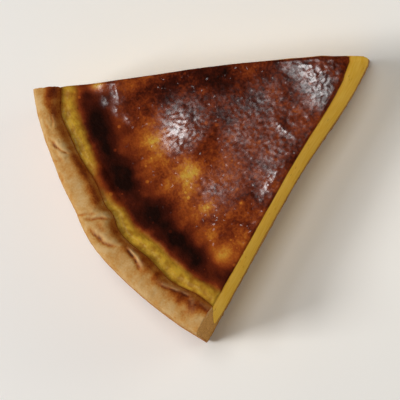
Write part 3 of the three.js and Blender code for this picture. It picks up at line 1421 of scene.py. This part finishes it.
@dataclass(frozen=True)
class CustardFinish:
    """Moist yellow custard under a glossy skin that is browned from gold to nearly black."""

    cut: Colour = paint(230, 176, 52)
    cut_pale: Colour = paint(238, 193, 80)
    cut_deep: Colour = paint(210, 145, 34)
    # Colour of the painted shade inside the cut's open bubbles.
    bubble_shade: Colour = paint(184, 128, 30)
    ring: Colour = paint(197, 155, 49)
    ring_shade: Colour = paint(158, 113, 30)
    tones: Tones = (
        (0.00, paint(186, 146, 46)),
        (0.16, paint(196, 150, 54)),
        (0.32, paint(178, 106, 34)),
        (0.48, paint(146, 68, 22)),
        (0.64, paint(106, 40, 14)),
        (0.80, paint(62, 18, 6)),
        (1.00, paint(24, 6, 2)),
    )
    coarse: Mottle = Mottle(size=3.0, detail=3.0)
    fine: Mottle = Mottle(size=0.9, detail=2.0)
    beads: Mottle = Mottle(size=1.5, detail=1.0)
    dots: Specks = Specks(spacing=3.4, size=0.2, share=0.4)
    streaks: Mottle = Mottle(size=2.6, detail=5.0)
    streak_stretch: tuple[float, float, float] = (0.4, 0.0, 1.2)
    bubbles: Specks = Specks(spacing=4.2, size=0.15, share=0.5)
    skin_thickness: float = 0.7
    skin_blend: float = 0.25
    skin_raggedness: float = 0.8
    from_ring: Span = Span(95 * MM, 82 * MM)
    fine_tones: Span = Span(0.08, 0.36)
    coarse_tone: float = 0.18
    dot_tone: float = 0.16
    ring_patches: Span = Span(-0.2, 0.15)
    cut_patches: Span = Span(-0.20, 0.20)
    under_skin: Span = Span(3.2, 0.4)
    under_skin_share: float = 0.8
    bubble_share: float = 0.7
    dull_roughness: float = 0.6
    glossy_roughness: float = 0.3
    cut_roughness: float = 0.75
    coarse_roughness: float = 0.2
    specular: float = 0.03
    glaze_roughness: float = 0.2
    glaze_ior: float = 1.8
    glaze_beads: Span = Span(-0.10, 0.14)
    glaze_least: float = 0.35
    stray_beads: Span = Span(0.18, 0.26)
    stray_glaze: float = 0.35
    fine_height: float = 0.9
    streak_height: float = 0.5
    bump_strength: float = 0.6
    bump_depth: float = 0.4 * MM
    scatter: float = 0.12
    scatter_radius: tuple[float, float, float] = (1.0, 0.55, 0.15)
    scatter_scale: float = 2.5 * MM

    def patterns(self, wiring: Wiring) -> CustardPatterns:
        """Adds the patterns that the finish shares.

        Args:
            wiring: the material's wiring.

        Returns:
            The patterns.
        """
        coordinates = wiring.coordinates()
        place = wiring.attribute(Attribute.PLACE, "Vector")
        coarse = wiring.place(EFFECTS.mottle, coordinates, self.coarse)
        depth = wiring.plus(wiring.attribute(Attribute.DEPTH), wiring.times(coarse, self.skin_raggedness))
        skin_edge = Span(self.skin_thickness + self.skin_blend, self.skin_thickness - self.skin_blend)
        return CustardPatterns(
            radius=wiring.part(place, "X"),
            depth=depth,
            on_skin=wiring.remap(depth, skin_edge),
            coarse=coarse,
            fine=wiring.place(EFFECTS.mottle, coordinates, self.fine),
            beads=wiring.place(EFFECTS.mottle, coordinates, self.beads),
            dots=wiring.place(EFFECTS.specks, coordinates, self.dots),
            streaks=wiring.place(EFFECTS.mottle, wiring.stretch(place, self.streak_stretch), self.streaks),
            bubbles=wiring.place(EFFECTS.specks, place, self.bubbles),
        )

    def colour(self, wiring: Wiring, patterns: CustardPatterns) -> Socket:
        """Colours the browned skin, the pale ring and the yellow cut, with painted shade in the cut's open
        bubbles.

        Args:
            wiring: the material's wiring.
            patterns: the patterns that the finish shares.

        Returns:
            The colour.
        """
        grain = wiring.times(patterns.fine, wiring.remap(patterns.radius, self.from_ring, *self.fine_tones))
        uneven = wiring.plus(wiring.times(patterns.coarse, self.coarse_tone), grain)
        tone = wiring.plus(wiring.attribute(Attribute.BROWNING), uneven)
        tone = wiring.minus(tone, wiring.times(patterns.dots, self.dot_tone))
        ring = wiring.mix(wiring.remap(patterns.coarse, self.ring_patches), self.ring_shade, self.ring)
        skin = wiring.mix(wiring.attribute(Attribute.PALE), wiring.ramp(tone, self.tones), ring)
        cut = wiring.mix(wiring.remap(patterns.streaks, self.cut_patches), self.cut, self.cut_pale)
        under_skin = wiring.remap(patterns.depth, self.under_skin, 0.0, self.under_skin_share)
        cut = wiring.mix(under_skin, cut, self.cut_deep)
        # Painted shade inside the cut's open bubbles.
        cut = wiring.mix(wiring.times(patterns.bubbles, self.bubble_share), cut, self.bubble_shade)
        return wiring.mix(patterns.on_skin, cut, skin)

    def roughness(self, wiring: Wiring, patterns: CustardPatterns) -> Socket:
        """Makes the skin smoother where it is glossy.

        Args:
            wiring: the material's wiring.
            patterns: the patterns that the finish shares.

        Returns:
            The roughness.
        """
        gloss = wiring.attribute(Attribute.GLOSS)
        sheen = wiring.remap(gloss, WHOLE, self.dull_roughness, self.glossy_roughness)
        skin = wiring.plus(sheen, wiring.times(patterns.coarse, self.coarse_roughness))
        return wiring.blend(patterns.on_skin, self.cut_roughness, skin)

    def glaze(self, wiring: Wiring, patterns: CustardPatterns) -> Socket:
        """Glazes the skin in beads, with some stray ones away from the ring.

        Args:
            wiring: the material's wiring.
            patterns: the patterns that the finish shares.

        Returns:
            The weight of the glaze.
        """
        beads = wiring.remap(patterns.beads, self.glaze_beads, self.glaze_least, 1.0)
        inside = wiring.remap(patterns.radius, self.from_ring, 0.0, self.stray_glaze)
        strays = wiring.times(wiring.remap(patterns.beads, self.stray_beads), inside)
        glaze = wiring.math("MAXIMUM", wiring.times(wiring.attribute(Attribute.GLOSS), beads), strays)
        return wiring.times(patterns.on_skin, glaze)

    def height(self, wiring: Wiring, patterns: CustardPatterns) -> Socket:
        """Gives the skin its fine bumps, and the cut its streaks and open bubbles.

        Args:
            wiring: the material's wiring.
            patterns: the patterns that the finish shares.

        Returns:
            The height that the bump follows.
        """
        skin = wiring.plus(wiring.times(patterns.fine, self.fine_height), patterns.coarse)
        cut = wiring.minus(wiring.times(patterns.streaks, self.streak_height), patterns.bubbles)
        return wiring.blend(patterns.on_skin, cut, skin)

    def material(self) -> bpy.types.Material:
        """Builds the material.

        Returns:
            The material.
        """
        material, wiring, shader = start_material("set_custard")
        patterns = self.patterns(wiring)
        bump = wiring.bump(self.height(wiring, patterns), self.bump_strength, self.bump_depth)
        wiring.feed(shader.inputs["Base Color"], self.colour(wiring, patterns))
        wiring.feed(shader.inputs["Roughness"], self.roughness(wiring, patterns))
        wiring.feed(shader.inputs["Coat Weight"], self.glaze(wiring, patterns))
        wiring.feed(shader.inputs["Normal"], bump)
        shader.inputs["Coat IOR"].default_value = self.glaze_ior
        shader.inputs["Coat Roughness"].default_value = self.glaze_roughness
        shader.inputs["Specular IOR Level"].default_value = self.specular
        shader.inputs["Subsurface Weight"].default_value = self.scatter
        shader.inputs["Subsurface Radius"].default_value = self.scatter_radius
        shader.inputs["Subsurface Scale"].default_value = self.scatter_scale
        return material


@dataclass(frozen=True)
class PastryFinish:
    """Dry shortcrust, from pale tan to toasted brown, with a crumbly cut."""

    tones: Tones = (
        (0.00, paint(196, 160, 108)),
        (0.25, paint(184, 137, 76)),
        (0.50, paint(168, 103, 40)),
        (0.75, paint(135, 63, 17)),
        (1.00, paint(94, 34, 8)),
    )
    # Colour of the painted highlight on the folds' lips.
    lip: Colour = paint(206, 172, 120)
    crumb: Colour = paint(209, 158, 86)
    # Darker crumb tone for random patches, and painted shade in the pores.
    crumb_dark_and_pore_shade: Colour = paint(174, 120, 56)
    grain: Mottle = Mottle(size=0.7, detail=3.0)
    patch: Mottle = Mottle(size=4.0, detail=3.0)
    flecks: Specks = Specks(spacing=2.2, size=0.2, share=0.3)
    pores: Specks = Specks(spacing=1.3, size=0.4, share=0.6)
    grain_tone: float = 0.45
    patch_tone: float = 0.4
    fleck_tone: float = 0.12
    crumb_patches: Span = Span(-0.2, 0.2)
    pore_share: float = 0.5
    crust_thickness: Span = Span(0.3, 1.2)
    dry_roughness: float = 0.82
    moist_roughness: float = 0.45
    patch_roughness: float = 0.2
    specular: float = 0.06
    bump_strength: float = 0.5
    bump_depth: float = 0.3 * MM

    def material(self) -> bpy.types.Material:
        """Builds the material.

        Returns:
            The material.
        """
        material, wiring, shader = start_material("baked_pastry")
        coordinates = wiring.coordinates()
        grain = wiring.place(EFFECTS.mottle, coordinates, self.grain)
        patch = wiring.place(EFFECTS.mottle, coordinates, self.patch)
        flecks = wiring.place(EFFECTS.specks, coordinates, self.flecks)
        pores = wiring.place(EFFECTS.specks, coordinates, self.pores)
        inside = wiring.remap(wiring.attribute(Attribute.DEPTH), self.crust_thickness)
        on_cut = wiring.times(wiring.attribute(Attribute.CUT), inside)

        uneven = wiring.plus(wiring.times(grain, self.grain_tone), wiring.times(patch, self.patch_tone))
        tone = wiring.plus(wiring.attribute(Attribute.BROWNING), uneven)
        tone = wiring.plus(tone, wiring.times(flecks, self.fleck_tone))
        # The pale attribute carries the painted highlight on the folds' lips, mixed towards the lip colour.
        skin = wiring.mix(wiring.attribute(Attribute.PALE), wiring.ramp(tone, self.tones), self.lip)
        crumb = wiring.mix(wiring.remap(grain, self.crumb_patches), self.crumb_dark_and_pore_shade, self.crumb)
        # Painted shade inside the cut's pores.
        crumb = wiring.mix(wiring.times(pores, self.pore_share), crumb, self.crumb_dark_and_pore_shade)
        wiring.feed(shader.inputs["Base Color"], wiring.mix(on_cut, skin, crumb))

        moist = wiring.attribute(Attribute.GLOSS)
        dryness = wiring.remap(moist, WHOLE, self.dry_roughness, self.moist_roughness)
        roughness = wiring.plus(dryness, wiring.times(patch, self.patch_roughness))
        wiring.feed(shader.inputs["Roughness"], roughness)
        height = wiring.minus(grain, wiring.times(pores, on_cut))
        wiring.feed(shader.inputs["Normal"], wiring.bump(height, self.bump_strength, self.bump_depth))
        shader.inputs["Specular IOR Level"].default_value = self.specular
        return material


@dataclass(frozen=True)
class Lamp:
    """A soft square lamp: where it stands, how wide it is, its power in watts and its colour."""

    name: str
    place: tuple[float, float, float]
    width: float
    power: float
    colour: tuple[float, float, float] = (1.0, 1.0, 1.0)


@dataclass
class Studio:
    """A plain pale floor, soft light and the camera. Places here are in metres and angles in degrees."""

    floor_size: float = 6.0
    floor_cells: int = 8
    floor_colour: Colour = paint(244, 243, 241)
    floor_shade: float = 0.97
    floor_clouds: Mottle = Mottle(size=120.0, detail=2.0)
    floor_patches: Span = Span(-0.3, 0.3)
    floor_roughness: float = 0.9
    sky: Colour = (1.0, 0.98, 0.95, 1.0)
    sky_heights: Span = Span(0.0, 0.9)
    horizon_strength: float = 0.34
    zenith_strength: float = 0.05
    lamps: tuple[Lamp, ...] = (
        Lamp("key", (-1.20, 0.42, 1.0), 0.45, 17.0, (1.0, 0.97, 0.93)),
        Lamp("overhead", (-0.08, 0.24, 1.5), 0.38, 5.0),
        Lamp("sparkle", (-0.67, 0.45, 1.28), 0.2, 2.0),
        Lamp("fill", (0.40, -0.14, 0.22), 0.25, 0.42, (1.0, 0.92, 0.74)),
    )
    aim: tuple[float, float, float] = (-0.0207, -0.0115, 0.02)
    distance: float = 1.645
    azimuth: float = 4.85
    elevation: float = 80.33
    heading: float = 33.43
    focal_length: float = 393.8

    def floor_material(self) -> bpy.types.Material:
        """Builds the floor's matt, faintly clouded material.

        Returns:
            The material.
        """
        material, wiring, shader = start_material("pale_floor")
        clouds = wiring.place(EFFECTS.mottle, wiring.coordinates(), self.floor_clouds)
        shade = tuple(self.floor_shade * part for part in self.floor_colour[:3]) + (1.0,)
        colour = wiring.mix(wiring.remap(clouds, self.floor_patches), shade, self.floor_colour)
        wiring.feed(shader.inputs["Base Color"], colour)
        shader.inputs["Roughness"].default_value = self.floor_roughness
        return material

    def build_floor(self) -> None:
        """Makes the pale floor that the slice rests on."""
        bm = bmesh.new()
        cells = self.floor_cells
        bmesh.ops.create_grid(bm, x_segments=cells, y_segments=cells, size=self.floor_size / 2)
        mesh = bpy.data.meshes.new("floor")
        bm.to_mesh(mesh)
        bm.free()
        mesh.materials.append(self.floor_material())
        floor = bpy.data.objects.new("floor", mesh)
        bpy.context.scene.collection.objects.link(floor)

    def build_lamps(self) -> None:
        """Sets up the soft lamps, which point at the slice."""
        for lamp in self.lamps:
            light = bpy.data.lights.new(lamp.name, "AREA")
            light.size = lamp.width
            light.energy = lamp.power
            light.color = lamp.colour
            holder = bpy.data.objects.new(lamp.name, light)
            holder.location = lamp.place
            holder.rotation_euler = (-Vector(lamp.place)).to_track_quat("-Z", "Y").to_euler()
            bpy.context.scene.collection.objects.link(holder)

    def build_sky(self) -> None:
        """Lights the slice from all round, dimly from overhead so that the glossy skin keeps its colour."""
        world = bpy.data.worlds.new("sky")
        world.use_nodes = True
        wiring = Wiring(world.node_tree)
        height = wiring.part(wiring.coordinates("Generated"), "Z")
        background = world.node_tree.nodes["Background"]
        background.inputs["Color"].default_value = self.sky
        strength = wiring.remap(height, self.sky_heights, self.horizon_strength, self.zenith_strength)
        wiring.feed(background.inputs["Strength"], strength)
        bpy.context.scene.world = world

    def build_camera(self) -> None:
        """Sets up the camera, which looks down on the slice."""
        azimuth = math.radians(self.azimuth)
        elevation = math.radians(self.elevation)
        heading = math.radians(self.heading)
        level = math.cos(elevation)
        back = Vector((math.sin(azimuth) * level, -math.cos(azimuth) * level, math.sin(elevation)))
        right = Vector((math.sin(heading), math.cos(heading), 0)).cross(back).normalized()
        turn = Matrix((right, back.cross(right), back)).transposed().to_4x4()
        camera = bpy.data.cameras.new("camera")
        camera.lens = self.focal_length
        holder = bpy.data.objects.new("camera", camera)
        holder.matrix_world = Matrix.Translation(Vector(self.aim) + back * self.distance) @ turn
        bpy.context.scene.collection.objects.link(holder)
        bpy.context.scene.camera = holder

    def build(self) -> None:
        """Sets up everything round the slice."""
        self.build_floor()
        self.build_lamps()
        self.build_sky()
        self.build_camera()
        bpy.context.scene.view_settings.view_transform = "Standard"


def main() -> None:
    """Builds the slice and its studio, and reports each piece."""
    logging.basicConfig(level=logging.INFO, format="%(name)s: %(message)s")
    low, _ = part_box("pastry_crust")
    wedge = Wedge(axis_x=low.x / MM + Wedge.radius)
    shell = Shell(wedge)
    for maker in (CustardFilling(wedge, shell=shell), PastryCrust(wedge, shell=shell)):
        piece = maker.build()
        LOG.info("%s has %d faces", piece.name, len(piece.data.polygons))
    Studio().build()


if __name__ == "__main__":
    main()
